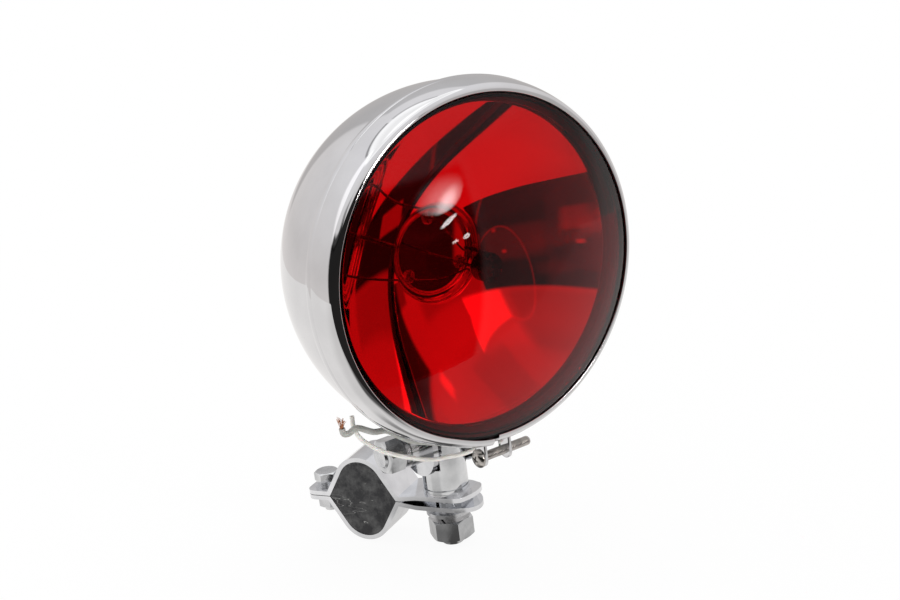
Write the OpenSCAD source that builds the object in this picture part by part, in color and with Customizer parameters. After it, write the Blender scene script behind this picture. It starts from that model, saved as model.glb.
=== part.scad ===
// Bar-mounted spotlamp with a red glass sealed beam, in millimetres.
// The origin is the centre of the bar bore in the clamp. +Z is up along the swivel stud,
// and the lamp faces -Y. Depth in the head is measured back from the edge of the lens.

/* [Sealed beam] */
// Diameter of the glass that shows inside the rim
lens_d = 137; // [116:1:166]
// Height of the lens crown in front of its edge
lens_rise = 15; // [10:0.5:20]
// Thickness of the glass
glass_t = 3; // [2.4:0.2:3.4]
// Width of the glass flange that the rim hides
flange_w = 3; // [2.6:0.2:3.2]
// Thickness of each glass flange
flange_t = 3.4; // [2.4:0.2:4]
// Depth of the plain lip in front of the mirror
mirror_lip = 2.8; // [1:0.2:4]
// Focal length of the mirror
focal = 32.8; // [31:0.2:36]
// Diameter of the recess at the back of the mirror
neck_d = 42; // [36:1:48]
// Depth of that recess
neck_depth = 4; // [3:0.5:6]
// Radius of the circle through the three ferrules
ferrule_circle_r = 14.8; // [13:0.2:16]
// Diameter of a ferrule cap
ferrule_d = 6; // [5:0.5:7]

/* [Rim and gasket] */
// Width of the rim outside the glass that shows
rim_w = 6.6; // [6.5:0.1:9]
// Sheet thickness of the rim
rim_wall = 1; // [0.8:0.1:1.2]
// Depth of the rim behind the edge of the lens
rim_depth = 15.5; // [15:0.5:18]
// Radius of the rim's curved section
rim_curve = 33.8; // [32:0.2:40]
// Radius of the rolled bead at the front of the rim
bead_r = 1.3; // [1.1:0.1:1.4]
// Width of the split in the rim
split_w = 2.4; // [1.6:0.2:4]
// Diameter of the rim's clamp screw
rim_screw_d = 4; // [3:0.5:4]
// Distance between the two tabs that the screw joins
tab_span = 12.2; // [8:0.2:14]
// Thickness of a tab
tab_t = 1.6; // [1.2:0.1:2]
// Length of the clamp screw under its head
rim_screw_l = 25; // [18:0.2:28]

/* [Shell] */
// Sheet thickness of the shell
shell_wall = 1; // [0.8:0.1:1.2]
// Gap between the shell and the sheet of the rim at the back of the rim
shell_gap = 0.9; // [0.9:0.1:1.2]
// Length of the straight collar between the ball of the shell and the beam
collar_l = 10; // [9:0.2:10.2]
// Distance of the ball's centre behind the back of the rim
ball_back = 4; // [0:0.5:6]

/* [Tilt joint] */
// Distance of the tilt axis below the shell
tilt_clear = 12.8; // [12.6:0.2:20]
// Distance of the stud behind the edge of the lens
stud_setback = 54.5; // [48:0.5:60]
// Diameter of the tilt bolt
tilt_bolt_d = 9.5; // [8:0.5:10]
// Thickness of the bracket's ears
ear_t = 2.5; // [2:0.1:3]
// Radius of the rounded end of an ear
ear_r = 14; // [12:0.5:14]
// Thickness of the spherical pad of the bracket
pad_t = 2; // [1.5:0.1:2.5]
// Width of that pad
pad_w = 42; // [40:1:48]
// Length of that pad
pad_l = 24; // [22:1:26]
// Thickness of the tongue on the post
tongue_t = 13.2; // [12:0.2:14]
// Length of the collar on the tilt bolt
spacer_l = 6.6; // [4:0.2:8]
// Diameter of that collar
spacer_d = 16; // [14:0.5:18]

/* [Swivel post] */
// Diameter of the post
post_d = 20; // [18:0.5:20]
// Height of the round part of the post above its groove
post_h = 9.5; // [9:0.5:14]
// Diameter of the stud below the post
stud_d = 11.1; // [10:0.1:12]
// Height of the tilt axis above the shoulder of the post
tongue_h = 12.2; // [12.1:0.1:16]

/* [Clamp] */
// Diameter of the bar that the clamp holds
bar_d = 22.2; // [19:0.1:23.4]
// Width of the clamp straps along the bar
strap_w = 21; // [20:0.5:26]
// Thickness of the straps
strap_t = 2; // [1.6:0.1:2.4]
// Half width of the rubber block at the joint of the straps
block_half_w = 16.8; // [16.2:0.1:19]
// Radius of the round top of the block
arch_r = 10.7; // [9.5:0.1:12]
// Height of the centre of that round top
arch_c = 7; // [6:0.1:8.5]
// Distance of the swivel stud from the bar
stud_reach = 37.2; // [35:0.1:44]
// Distance that the long tabs go on past the stud
tab_past = 16; // [14:0.5:20]
// Half the gap between the tabs at the stud
tab_gap = 1.3; // [0.6:0.1:1.6]
// Distance of the rear bolt from the bar
rear_reach = 23.2; // [23.2:0.1:30]
// Yaw of the bar from the lamp's own X axis, in degrees
clamp_yaw = 30; // [-30:1:60]
// Thickness of rubber that closes the bore on one side
web_t = 2.4; // [1.6:0.2:4]

/* [Leads] */
// Diameter of the grey lead
grey_d = 2.6; // [2:0.1:3]
// Diameter of the white lead
white_d = 1.9; // [1.5:0.1:2.2]

/* [Hidden] */
$fn = 96;

// Clearances
touch = 0.05;
running = 0.08;
easy = 0.15;
margin = 1;

// Levels in the head, as depth behind the edge of the lens
lens_r = lens_d / 2;
beam_r = lens_r + flange_w;
edge_depth = 0.3;
bead_depth = 0.9;
flange_front = 2.8;
joint_depth = flange_front + flange_t;
flange_back = joint_depth + flange_t + 0.6;
crown_r = (pow(lens_r, 2) + pow(lens_rise, 2)) / (2 * lens_rise);
crown_depth = edge_depth - lens_rise + crown_r;
mirror_edge_r = lens_r - 3.5;
lens_wall_r = lens_r - 1.5;

// Mirror
mirror_apex = joint_depth + mirror_lip + pow(mirror_edge_r, 2) / (4 * focal);
mirror_shift = glass_t + 0.2;
neck_r = neck_d / 2;
neck_wall = 3;
neck_front = mirror_apex - pow(neck_r, 2) / (4 * focal);
neck_floor = neck_front + neck_depth;
neck_back = neck_floor + glass_t;
mirror_steps = 16;
focus_depth = mirror_apex - focal;

// Rim
rim_r = lens_r + rim_w;
rim_peak = 14;
rim_centre_r = rim_r - rim_curve;
bead_rim_r = rim_centre_r + sqrt(pow(rim_curve, 2) - pow(rim_peak - bead_depth, 2));
bead_centre_r = bead_rim_r - bead_r;
rim_edge_r = 0.8;
tab_r = 3.8;
tab_depth = 9;
tab_left_x = -10.2;
tab_drop = rim_r + 5.5;
pan_head_d = 8;
pan_head_h = 2.6;

// Shell
shell_r = rim_r - rim_wall - shell_gap;
ball_depth = rim_depth + ball_back;
collar_front = ball_depth - collar_l;
seat_t = 1;
seat_gap = 0.2;
seat_skirt = 4;

// Tilt joint
tilt_drop = shell_r + tilt_clear;
ear_gap = post_d + 0.6;
ear_x = ear_gap / 2;
stack_left = ear_x + ear_t;
spacer_end = stack_left + spacer_l;
tilt_spring_t = 2.4;
tilt_nut_h = 8.3;
tilt_nut_af = 14.3;
tilt_head_h = 6;
tilt_end = 0.9;
spring_end = spacer_end + tilt_spring_t;
nut_end = spring_end + tilt_nut_h;
ring_r = 11;
ring_teeth = 18;
tooth_h = 1;
rivet_r = 2;
rivet_head_r = 3.6;
rivet_head_h = 1.5;

// Swivel stack, measured up and down from the joint of the two straps
root_gap = 0.3;
washer_t = 1;
foot_t = 1.4;
groove_h = 0.6;
tab_top = tab_gap + strap_t;
foot_z = tab_top + washer_t;
groove_z = foot_z + foot_t;
body_z = groove_z + groove_h;
shoulder_z = body_z + post_h;
tilt_z = shoulder_z + tongue_h;
boss_h = 2;
boss_r = 7.5;
stud_washer_r = 10.2;
stud_washer_t = 1.7;
stud_spring_r = 9;
stud_spring_t = 2.5;
stud_nut_af = 17.5;
stud_nut_h = 9.5;
boss_z = -tab_top - boss_h;
stud_washer_z = boss_z - stud_washer_t;
stud_spring_z = stud_washer_z - stud_spring_t;
stud_nut_z = stud_spring_z - stud_nut_h;
stud_end_z = stud_nut_z - 2.8;

// Places of the stud, the lens and the ball of the shell
stud_x = stud_reach * sin(clamp_yaw);
stud_y = -stud_reach * cos(clamp_yaw);
tilt_centre = [stud_x, stud_y, tilt_z];
lens_centre = [stud_x, stud_y - stud_setback, tilt_z + tilt_drop];
ball_centre = lens_centre + [0, ball_depth, 0];

// Clamp straps
side_slope = acos(arch_r / norm([block_half_w, arch_c])) - atan2(arch_c, block_half_w);
rear_bolt_d = 6;
rear_washer_r = 5;
rear_washer_t = 1.6;
rear_head_af = 10;
rear_head_h = 4;
rear_nut_h = 5;
rear_past = 5.6;
block_gap = 0.1;
block_w = strap_w - 0.4;

// Grommet, where both leads leave the shell
grommet_x = 9.3;
grommet_y = 15.3;
grommet_r = 7;
grommet_neck_r = 5;
grommet_out = 2.2;
grommet_in = 1.6;
lead_spread = 2.7;
exit_dir = [grommet_x, grommet_y, -sqrt(pow(shell_r, 2) - pow(grommet_x, 2) - pow(grommet_y, 2))] / shell_r;
exit_side = unit(cross(exit_dir, [0, 1, 0]));
exit_centre = ball_centre + (shell_r + grommet_out + touch) * exit_dir;
entry_centre = ball_centre + (shell_r - shell_wall - grommet_in - 0.35) * exit_dir;
grey_exit = exit_centre - lead_spread * exit_side;
white_exit = exit_centre + lead_spread * exit_side;
exit_run = 4;

// Routes of the leads, by hand, measured from the middle of the tilt axis
grey_route = concat([grey_exit, grey_exit + exit_run * exit_dir], from_tilt([
    [3.9, -18.8, 3.5], [-2.6, -18.8, 3.5], [-10.6, -19.3, 5.5], [-18.6, -19.8, 8.5], [-25.6, -20.3, 11.5],
    [-31.6, -20.8, 15.5], [-38.1, -21.3, 20.5], [-45.1, -22.3, 22.5], [-52.1, -22.3, 26.5],
    [-56.1, -22.3, 25.5], [-58.6, -22.3, 26], [-59.1, -22.3, 28.5]
]));
white_route = concat([white_exit, white_exit + exit_run * exit_dir], from_tilt([
    [12.4, -18.3, 2], [9.9, -18.3, -1], [4.9, -18.3, -3], [-1.6, -18.3, -3], [-8.1, -18.3, -2],
    [-16.6, -18.3, -0.5], [-25.1, -18.3, 3], [-33.1, -18.3, 7], [-41.1, -18.3, 12],
    [-47.1, -18.3, 17.5], [-50.1, -18.3, 21.5], [-51.6, -18.3, 26], [-51.6, -18.3, 30.5]
]));
lead_sides = 8;
lead_steps = 2;

function unit(v) = v / norm(v);

function from_tilt(points) = [for (p = points) tilt_centre + p];

// Point between b and c on a smooth curve through a, b, c and d
function curve_point(a, b, c, d, t) =
    0.5 * (2 * b + (c - a) * t + (2 * a - 5 * b + 4 * c - d) * pow(t, 2) + (3 * b - a - 3 * c + d) * pow(t, 3));

// The route with steps points for each of its stretches
function smooth_route(p, steps) = [
    for (i = [0 : len(p) - 2], k = [0 : steps - 1])
        curve_point(p[max(i - 1, 0)], p[i], p[i + 1], p[min(i + 2, len(p) - 1)], k / steps),
    p[len(p) - 1]
];

// Corners of one ring of a tube, square to the route
function ring_points(p, i, r, sides, across) =
    let (
        ahead = unit(p[min(i + 1, len(p) - 1)] - p[max(i - 1, 0)]),
        u = unit(cross(ahead, across)),
        v = cross(ahead, u)
    )
    [for (k = [0 : sides - 1]) p[i] + r * (cos(360 * k / sides) * u + sin(360 * k / sides) * v)];

module tube(route, d, sides, steps, across) {
    p = smooth_route(route, steps);
    rings = len(p);
    corners = [for (i = [0 : rings - 1]) each ring_points(p, i, d / 2, sides, across)];
    walls = [
        for (i = [0 : rings - 2], k = [0 : sides - 1])
            [
                i * sides + k, i * sides + (k + 1) % sides,
                (i + 1) * sides + (k + 1) % sides, (i + 1) * sides + k
            ]
    ];
    start = [for (k = [sides - 1 : -1 : 0]) k];
    end = [for (k = [0 : sides - 1]) (rings - 1) * sides + k];
    polyhedron(points = corners, faces = concat([start], walls, [end]), convexity = 6);
}

// Round bar between two points
module rod(from, to, r) {
    along = to - from;
    translate(from)
        rotate([0, acos(along[2] / norm(along)), atan2(along[1], along[0])])
            cylinder(r = r, h = norm(along), $fn = 24);
}

module ring(outer_r, inner_r, h) {
    difference() {
        cylinder(r = outer_r, h = h);
        translate([0, 0, -margin]) cylinder(r = inner_r, h = h + 2 * margin);
    }
}

// Hexagonal prism whose corners are chamfered at the top, or at both ends
module hexagon(af, h, both_ends) {
    face_r = 0.96 * af / 2;
    slope_r = face_r + h / tan(30);
    intersection() {
        cylinder(r = af / 2 / cos(30), h = h, $fn = 6);
        cylinder(r1 = slope_r, r2 = face_r, h = h);
        if (both_ends) cylinder(r1 = face_r, r2 = slope_r, h = h);
        else cylinder(r = af, h = h);
    }
}

// Helical washer with its cut
module split_washer(outer_r, inner_r, h) {
    difference() {
        ring(outer_r, inner_r, h);
        translate([inner_r + (outer_r - inner_r) / 2, 0, h / 2])
            rotate([35, 0, 0])
                cube([2 * (outer_r - inner_r), 1, 3 * h], center = true);
    }
}

module at_stud() {
    translate([stud_x, stud_y, 0]) children();
}

// X runs along the tilt axis, from the left of the lamp to the right
module at_tilt_axis() {
    at_stud() translate([0, 0, tilt_z]) rotate([0, 90, 0]) children();
}

// Z runs back along the beam axis
module on_beam() {
    translate(lens_centre) rotate([-90, 0, 0]) children();
}

// Z runs out through the shell at a place given from the ball's centre
module on_shell(x, y) {
    z = -sqrt(pow(shell_r, 2) - pow(x, 2) - pow(y, 2));
    translate(ball_centre) rotate([0, acos(z / shell_r), atan2(y, x)]) children();
}

// X runs along the bar, and Y away from the stud
module on_bar() {
    rotate([0, 0, clamp_yaw]) children();
}

// Extrudes an outline of the clamp's cross-section along the bar
module along_bar(w) {
    rotate([90, 0, 90]) translate([0, 0, -w / 2]) linear_extrude(w) children();
}

module shell() {
    color("gainsboro")
    difference() {
        on_beam() translate([0, 0, ball_depth]) rotate_extrude() {
            intersection() {
                difference() {
                    circle(r = shell_r);
                    circle(r = shell_r - shell_wall);
                }
                square(shell_r + margin);
            }
            translate([shell_r - shell_wall, -collar_l]) square([shell_wall, collar_l]);
        }
        on_shell(grommet_x, grommet_y) cylinder(r = grommet_neck_r + touch, h = shell_r + margin);
        rivet_places() cylinder(r = rivet_r + touch, h = shell_r + margin);
    }
}

module rim_section() {
    difference() {
        intersection() {
            translate([rim_centre_r, rim_peak]) circle(r = rim_curve, $fn = 180);
            translate([lens_r, bead_depth]) square([rim_w + margin, rim_depth - bead_depth]);
        }
        translate([rim_centre_r, rim_peak]) circle(r = rim_curve - rim_wall, $fn = 180);
    }
    translate([bead_centre_r, bead_depth]) circle(r = bead_r, $fn = 48);
    translate([rim_r - rim_edge_r, rim_depth - rim_edge_r]) circle(r = rim_edge_r, $fn = 32);
}

// One tab of the rim, from x onwards, with its hole
module rim_tab(x, hole_r) {
    translate(lens_centre + [x, tab_depth, -tab_drop]) rotate([0, 90, 0])
        difference() {
            union() {
                cylinder(r = tab_r, h = tab_t, $fn = 64);
                translate([-tab_drop + rim_r - rim_wall, -tab_r, 0])
                    cube([tab_drop - rim_r + rim_wall, 2 * tab_r, tab_t]);
            }
            translate([0, 0, -margin]) cylinder(r = hole_r, h = tab_t + 2 * margin, $fn = 48);
        }
}

module rim() {
    color("gainsboro") {
        difference() {
            on_beam() rotate_extrude() rim_section();
            translate(lens_centre + [tab_left_x + tab_t, -margin - bead_r, -rim_r - margin])
                cube([split_w, rim_depth + 2 * margin + bead_r, rim_w + 2 * margin]);
        }
        difference() {
            union() {
                rim_tab(tab_left_x, rim_screw_d / 2 + easy);
                rim_tab(tab_left_x + tab_span, rim_screw_d / 2 + touch);
            }
            on_beam() cylinder(r = rim_r - rim_wall, h = rim_depth + margin);
        }
    }
}

module rim_screw() {
    color("silver")
    translate(lens_centre + [tab_left_x, tab_depth, -tab_drop]) rotate([0, 90, 0]) {
        cylinder(r = rim_screw_d / 2, h = rim_screw_l - 0.6, $fn = 48);
        translate([0, 0, rim_screw_l - 0.6])
            cylinder(r1 = rim_screw_d / 2, r2 = rim_screw_d / 2 - 0.5, h = 0.6, $fn = 48);
        difference() {
            intersection() {
                translate([0, 0, -pan_head_h]) cylinder(r = pan_head_d / 2, h = pan_head_h, $fn = 64);
                translate([0, 0, pan_head_d * 0.65 - pan_head_h]) sphere(r = pan_head_d * 0.65, $fn = 64);
            }
            for (turn = [20, 110])
                rotate([0, 0, turn])
                    translate([-pan_head_d * 0.3, -0.5, -pan_head_h - margin])
                        cube([pan_head_d * 0.6, 1, margin + 1.5]);
        }
    }
}

module lens() {
    color("firebrick", 0.8)
    on_beam() rotate_extrude($fn = 128) difference() {
        union() {
            intersection() {
                translate([0, crown_depth]) circle(r = crown_r, $fn = 360);
                translate([0, -lens_rise - margin]) square([lens_r, lens_rise + margin + joint_depth]);
            }
            translate([lens_wall_r, flange_front]) square([beam_r - lens_wall_r, flange_t]);
        }
        intersection() {
            translate([0, crown_depth]) circle(r = crown_r - glass_t, $fn = 360);
            translate([-margin, -lens_rise]) square([lens_wall_r + margin, lens_rise + joint_depth + margin]);
        }
    }
}

module gasket() {
    color("black")
    on_beam() rotate_extrude() difference() {
        union() {
            translate([lens_r + touch, 0.5]) square([beam_r - lens_r - touch, flange_front - 0.5]);
            translate([beam_r + touch, 0.5]) square([0.9, joint_depth - 0.5]);
            translate([beam_r - margin, 0.5]) square([margin + 0.9, flange_front - 0.5 - touch]);
        }
        translate([bead_centre_r, bead_depth]) circle(r = bead_r + touch, $fn = 48);
        difference() {
            translate([lens_r + 2 * bead_r, 0]) square([rim_w, joint_depth + margin]);
            translate([rim_centre_r, rim_peak]) circle(r = rim_curve - rim_wall - touch, $fn = 180);
        }
    }
}

// Depth of the mirror's surface at a radius
function mirror_at(r) = mirror_apex - pow(r, 2) / (4 * focal);

module reflector() {
    back_edge_r = sqrt(4 * focal * (mirror_apex + mirror_shift - flange_back));
    neck_outer_r = neck_r + neck_wall;
    inner = [
        for (i = [0 : mirror_steps])
            let (r = mirror_edge_r + (neck_r - mirror_edge_r) * i / mirror_steps) [r, mirror_at(r)]
    ];
    outer = [
        for (i = [mirror_steps : -1 : 0])
            let (r = back_edge_r + (neck_outer_r - back_edge_r) * i / mirror_steps)
                [r, mirror_at(r) + mirror_shift]
    ];
    color("lightgray")
    on_beam() difference() {
        rotate_extrude() polygon(concat(
            inner,
            [[neck_r, neck_floor], [0, neck_floor], [0, neck_back], [neck_outer_r, neck_back]],
            outer,
            [[beam_r, flange_back], [beam_r, joint_depth], [mirror_edge_r, joint_depth]]
        ));
        at_ferrules() translate([0, 0, neck_floor - margin])
            cylinder(r = 1.5 + touch, h = glass_t + 2 * margin, $fn = 32);
    }
}

// The three ferrules, the first at the top
module at_ferrules() {
    for (a = [90, 210, 330])
        translate([ferrule_circle_r * cos(a), -ferrule_circle_r * sin(a), 0]) children();
}

module seat_ring() {
    outer_r = shell_r - shell_wall - seat_gap;
    color("darkgray")
    on_beam() rotate_extrude() {
        translate([beam_r - 4, flange_back]) square([outer_r - beam_r + 4, seat_t]);
        translate([outer_r - seat_t, flange_back]) square([seat_t, seat_t + seat_skirt]);
    }
}

module beam_terminals() {
    blade_w = 6.3;
    blade_t = 0.8;
    blade_l = 8;
    color("silver")
    on_beam() at_ferrules() {
        translate([0, 0, neck_floor - 1.2]) cylinder(r1 = ferrule_d / 2 - 0.8, r2 = ferrule_d / 2, h = 1.2);
        translate([0, 0, neck_floor - margin]) cylinder(r = 1.5, h = glass_t + 2 * margin, $fn = 32);
        translate([0, 0, neck_back]) cylinder(r = ferrule_d / 2 + 1, h = 2.5);
        translate([-blade_w / 2, -blade_t / 2, neck_back + 2]) cube([blade_w, blade_t, blade_l]);
    }
}

// Ends of the three support wires near the focus, in the beam's own axes
post_ends = [[0, -5, focus_depth + 8], [-5, 1, focus_depth], [5, 1, focus_depth]];

module filament_posts() {
    color("silver")
    on_beam() for (i = [0 : 2]) {
        a = [90, 210, 330][i];
        foot = [ferrule_circle_r * cos(a), -ferrule_circle_r * sin(a), neck_floor - 1.7];
        rod(foot, post_ends[i], 0.6);
    }
}

module filament() {
    color("dimgray")
    on_beam() translate([-4.2, 1, focus_depth]) rotate([0, 90, 0]) cylinder(r = 0.9, h = 8.4, $fn = 32);
}

module filament_shield() {
    cup_r = 6;
    cup_t = 0.5;
    color("silver")
    on_beam() translate([0, 0, focus_depth - 7]) {
        difference() {
            cylinder(r = cup_r, h = 4.5, $fn = 64);
            translate([0, 0, cup_t]) cylinder(r = cup_r - cup_t, h = 5, $fn = 64);
        }
        translate([-0.9, -cup_r - 0.5, 3]) cube([1.8, 0.9, 12.2]);
    }
}

module lead_lugs() {
    lug_w = 7.4;
    lug_t = 2.4;
    lug_l = 7;
    color("goldenrod")
    on_beam() for (side = [-1, 1])
        translate([
            side * ferrule_circle_r * cos(30), ferrule_circle_r * sin(30), neck_back + 3.2
        ]) {
            difference() {
                translate([-lug_w / 2, -lug_t / 2, 0]) cube([lug_w, lug_t, lug_l]);
                translate([-6.4 / 2, -0.45, -margin]) cube([6.4, 0.9, lug_l + margin]);
            }
            translate([0, 0, lug_l]) cylinder(r = 2, h = 5, $fn = 32);
        }
}

// Back ends of the lugs, where the leads go on
lug_depth = neck_back + 3.2 + 7 + 5 + 0.3;

function inner_route(side) =
    let (
        entry = entry_centre + side * lead_spread * exit_side,
        lug = lens_centre + [side * ferrule_circle_r * cos(30), lug_depth, -ferrule_circle_r * sin(30)]
    )
    [
        entry, entry - 4 * exit_dir, entry + [-2, 14, 14], entry + [-3 + side * 2, 26, 30],
        [lug[0], lug[1] + 7, lug[2] - 8], lug + [0, 5, 0], lug
    ];

module inner_leads() {
    color("gray") {
        tube(inner_route(-1), grey_d, lead_sides, lead_steps, [1, 0, 0]);
        tube(inner_route(1), white_d, lead_sides, lead_steps, [1, 0, 0]);
    }
}

module lead_grommet() {
    color("black")
    difference() {
        on_shell(grommet_x, grommet_y) {
            translate([0, 0, shell_r - shell_wall - grommet_in])
                cylinder(r = grommet_neck_r, h = shell_wall + grommet_in + grommet_out);
            difference() {
                translate([0, 0, shell_r - 1]) cylinder(r = grommet_r, h = grommet_out + 1);
                sphere(r = shell_r + touch, $fn = 128);
            }
        }
    }
}

module lead_grey() {
    color("lightgray") tube(grey_route, grey_d, lead_sides, lead_steps, [0, 1, 0]);
}

module lead_white() {
    color("ivory") tube(white_route, white_d, lead_sides, lead_steps, [0, 1, 0]);
}

// Copper strands that fan out of the cut end of the grey lead
module bare_strands() {
    from = grey_route[len(grey_route) - 1];
    tips = [[-1.5, 0, 5.5], [-0.5, 0.6, 4.5], [0.6, -0.6, 4.2], [2.6, 0.2, 2.6], [1.6, 0.5, 3.6]];
    color("chocolate")
    for (tip = tips)
        rod(from + [tip[0] * 0.2, tip[1] * 0.6, 0.25], from + tip, 0.25);
}

module rivet_places() {
    for (side = [-1, 1])
        on_shell(side * (pad_w / 2 - 4.2), stud_setback - ball_depth) children();
}

module tilt_bracket() {
    pad_y = stud_setback - ball_depth;
    color("lightsteelblue")
    difference() {
        union() {
            intersection() {
                translate(ball_centre) sphere(r = shell_r + pad_t, $fn = 160);
                at_stud() translate([-pad_w / 2, -pad_l / 2, tilt_z]) cube([pad_w, pad_l, tilt_drop / 2]);
            }
            for (side = [-1, 1])
                at_tilt_axis() translate([0, 0, side * (ear_x + ear_t / 2) - ear_t / 2]) {
                    cylinder(r = ear_r, h = ear_t);
                    translate([-tilt_drop / 2 + 4, -pad_l / 2, 0]) cube([tilt_drop / 2 - 4, pad_l, ear_t]);
                }
        }
        translate(ball_centre) sphere(r = shell_r + touch, $fn = 160);
        at_tilt_axis() cylinder(r = tilt_bolt_d / 2 + easy, h = 4 * ear_gap, center = true);
        rivet_places() cylinder(r = rivet_r + touch, h = shell_r + pad_t + margin);
    }
}

module bracket_rivets() {
    color("silver")
    rivet_places() {
        translate([0, 0, shell_r - shell_wall - 1.2]) cylinder(r = rivet_head_r, h = 1);
        translate([0, 0, shell_r - shell_wall - 1]) cylinder(r = rivet_r, h = shell_wall + pad_t + 2);
        translate([0, 0, shell_r + pad_t])
            cylinder(r1 = rivet_head_r, r2 = rivet_head_r - 1.3, h = rivet_head_h);
    }
}

module tilt_bolt() {
    color("silver")
    at_tilt_axis() {
        translate([0, 0, -nut_end - tilt_end])
            cylinder(r1 = tilt_bolt_d / 2 - 0.7, r2 = tilt_bolt_d / 2, h = 0.8);
        translate([0, 0, -nut_end - tilt_end + 0.8])
            cylinder(r = tilt_bolt_d / 2, h = nut_end + tilt_end - 0.8 + stack_left);
        translate([0, 0, stack_left]) rotate([0, 0, 12]) hexagon(tilt_nut_af, tilt_head_h, false);
    }
}

module tilt_collar() {
    color("darkgray")
    at_tilt_axis() translate([0, 0, -spacer_end]) ring(spacer_d / 2, tilt_bolt_d / 2 + easy, spacer_l);
}

module tilt_spring_washer() {
    color("silver")
    at_tilt_axis() translate([0, 0, -spring_end]) rotate([0, 0, 75])
        split_washer(tilt_nut_af / 2 + 0.2, tilt_bolt_d / 2 + easy, tilt_spring_t);
}

module tilt_nut() {
    color("silver")
    at_tilt_axis() translate([0, 0, -nut_end]) difference() {
        rotate([0, 0, 20]) hexagon(tilt_nut_af, tilt_nut_h, true);
        translate([0, 0, -margin]) cylinder(r = tilt_bolt_d / 2 + touch, h = tilt_nut_h + 2 * margin);
    }
}

// Serrated rings between the ears and the tongue
module tooth_rings() {
    ring_t = ear_x - tongue_t / 2 - 2 * touch;
    pitch = 360 / ring_teeth;
    outline = [
        for (i = [0 : ring_teeth - 1], k = [0 : 3])
            let (a = pitch * (i + [0.05, 0.3, 0.45, 0.9][k]), r = [ring_r, ring_r, ring_r - tooth_h, ring_r - tooth_h][k])
                [r * cos(a), r * sin(a)]
    ];
    color("dimgray")
    for (side = [-1, 1])
        at_tilt_axis() translate([0, 0, side * (ear_x + tongue_t / 2) / 2 - ring_t / 2])
            linear_extrude(ring_t) difference() {
                polygon(outline);
                circle(r = tilt_bolt_d / 2 + easy);
            }
}

module swivel_post() {
    color("silver")
    at_stud() difference() {
        union() {
            translate([0, 0, stud_end_z + 1]) cylinder(r = stud_d / 2, h = foot_z - stud_end_z - 1 + margin);
            translate([0, 0, stud_end_z]) cylinder(r1 = stud_d / 2 - 1, r2 = stud_d / 2, h = 1);
            translate([0, 0, foot_z]) cylinder(r = post_d / 2, h = foot_t);
            translate([0, 0, foot_z]) cylinder(r = post_d / 2 - 0.8, h = body_z - foot_z + margin);
            translate([0, 0, body_z]) cylinder(r = post_d / 2, h = post_h);
            intersection() {
                translate([0, 0, body_z]) cylinder(r = post_d / 2, h = tilt_z + post_d / 2 - body_z);
                translate([-tongue_t / 2, -post_d, body_z]) cube([tongue_t, 2 * post_d, 2 * tilt_z]);
                union() {
                    translate([-post_d, 0, tilt_z]) rotate([0, 90, 0]) cylinder(r = post_d / 2, h = 2 * post_d);
                    translate([-post_d, -post_d, 0]) cube([2 * post_d, 2 * post_d, tilt_z]);
                }
            }
        }
        translate([-post_d, 0, tilt_z]) rotate([0, 90, 0])
            cylinder(r = tilt_bolt_d / 2 + running, h = 2 * post_d);
    }
}

module post_washer() {
    color("silver")
    at_stud() translate([0, 0, tab_top]) ring(stud_washer_r, stud_d / 2 + easy, washer_t);
}

// Half of the outline of the rubber block, grown by t, above the height z
module arch_outline(t, z) {
    r = arch_r + t;
    base = block_half_w + t / cos(side_slope);
    lean_y = r * cos(side_slope);
    lean_z = arch_c + r * sin(side_slope);
    intersection() {
        union() {
            translate([0, arch_c]) circle(r = r);
            polygon([[-base, 0], [base, 0], [lean_y, lean_z], [-lean_y, lean_z]]);
        }
        translate([-2 * base, z]) square([4 * base, arch_c + 2 * r]);
    }
}

// Cross-section of the upper strap's two tabs, the long one on the stud's side
module tab_outline() {
    root = block_half_w + 0.7;
    flat = stud_washer_r + 0.5;
    low = root_gap / 2;
    tip_rise = 1.2;
    end = stud_reach + tab_past;
    polygon([
        [-root, low], [-stud_reach + flat, tab_gap], [-stud_reach - flat, tab_gap],
        [-end, tab_gap + tip_rise], [-end, tab_top + tip_rise],
        [-stud_reach - flat, tab_top], [-stud_reach + flat, tab_top], [-root, low + strap_t]
    ]);
    translate([root, low]) square([rear_reach + rear_past - root, strap_t]);
}

// Outline of a strap from above, with round ends
module strap_plan() {
    end = stud_reach + tab_past - strap_w / 2;
    corner = 4;
    rear = rear_reach + rear_past;
    translate([0, -end]) circle(r = strap_w / 2);
    translate([-strap_w / 2, -end]) square([strap_w, end + rear - corner]);
    translate([-strap_w / 2 + corner, 0]) square([strap_w - 2 * corner, rear]);
    for (side = [-1, 1])
        translate([side * (strap_w / 2 - corner), rear - corner]) circle(r = corner);
}

module upper_strap() {
    difference() {
        intersection() {
            union() {
                along_bar(strap_w) arch_outline(strap_t, root_gap / 2);
                along_bar(strap_w) tab_outline();
            }
            linear_extrude(4 * arch_r) strap_plan();
        }
        along_bar(strap_w + margin) arch_outline(0, -margin);
        translate([0, -stud_reach, -margin]) cylinder(r = stud_d / 2 + running, h = arch_r);
        translate([0, rear_reach, -margin]) cylinder(r = rear_bolt_d / 2 + easy, h = arch_r);
    }
}

module upper_clamp() {
    color("gainsboro") on_bar() upper_strap();
}

module lower_clamp() {
    color("gainsboro")
    on_bar() {
        mirror([0, 0, 1]) upper_strap();
        translate([0, -stud_reach, boss_z]) ring(boss_r, stud_d / 2 + running, boss_h);
    }
}

module clamp_rubber() {
    color("black")
    on_bar() difference() {
        along_bar(block_w) {
            arch_outline(-block_gap, 0);
            mirror([0, 1]) arch_outline(-block_gap, 0);
        }
        translate([web_t - block_w / 2, 0, 0]) rotate([0, 90, 0]) cylinder(r = bar_d / 2, h = block_w);
    }
}

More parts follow.
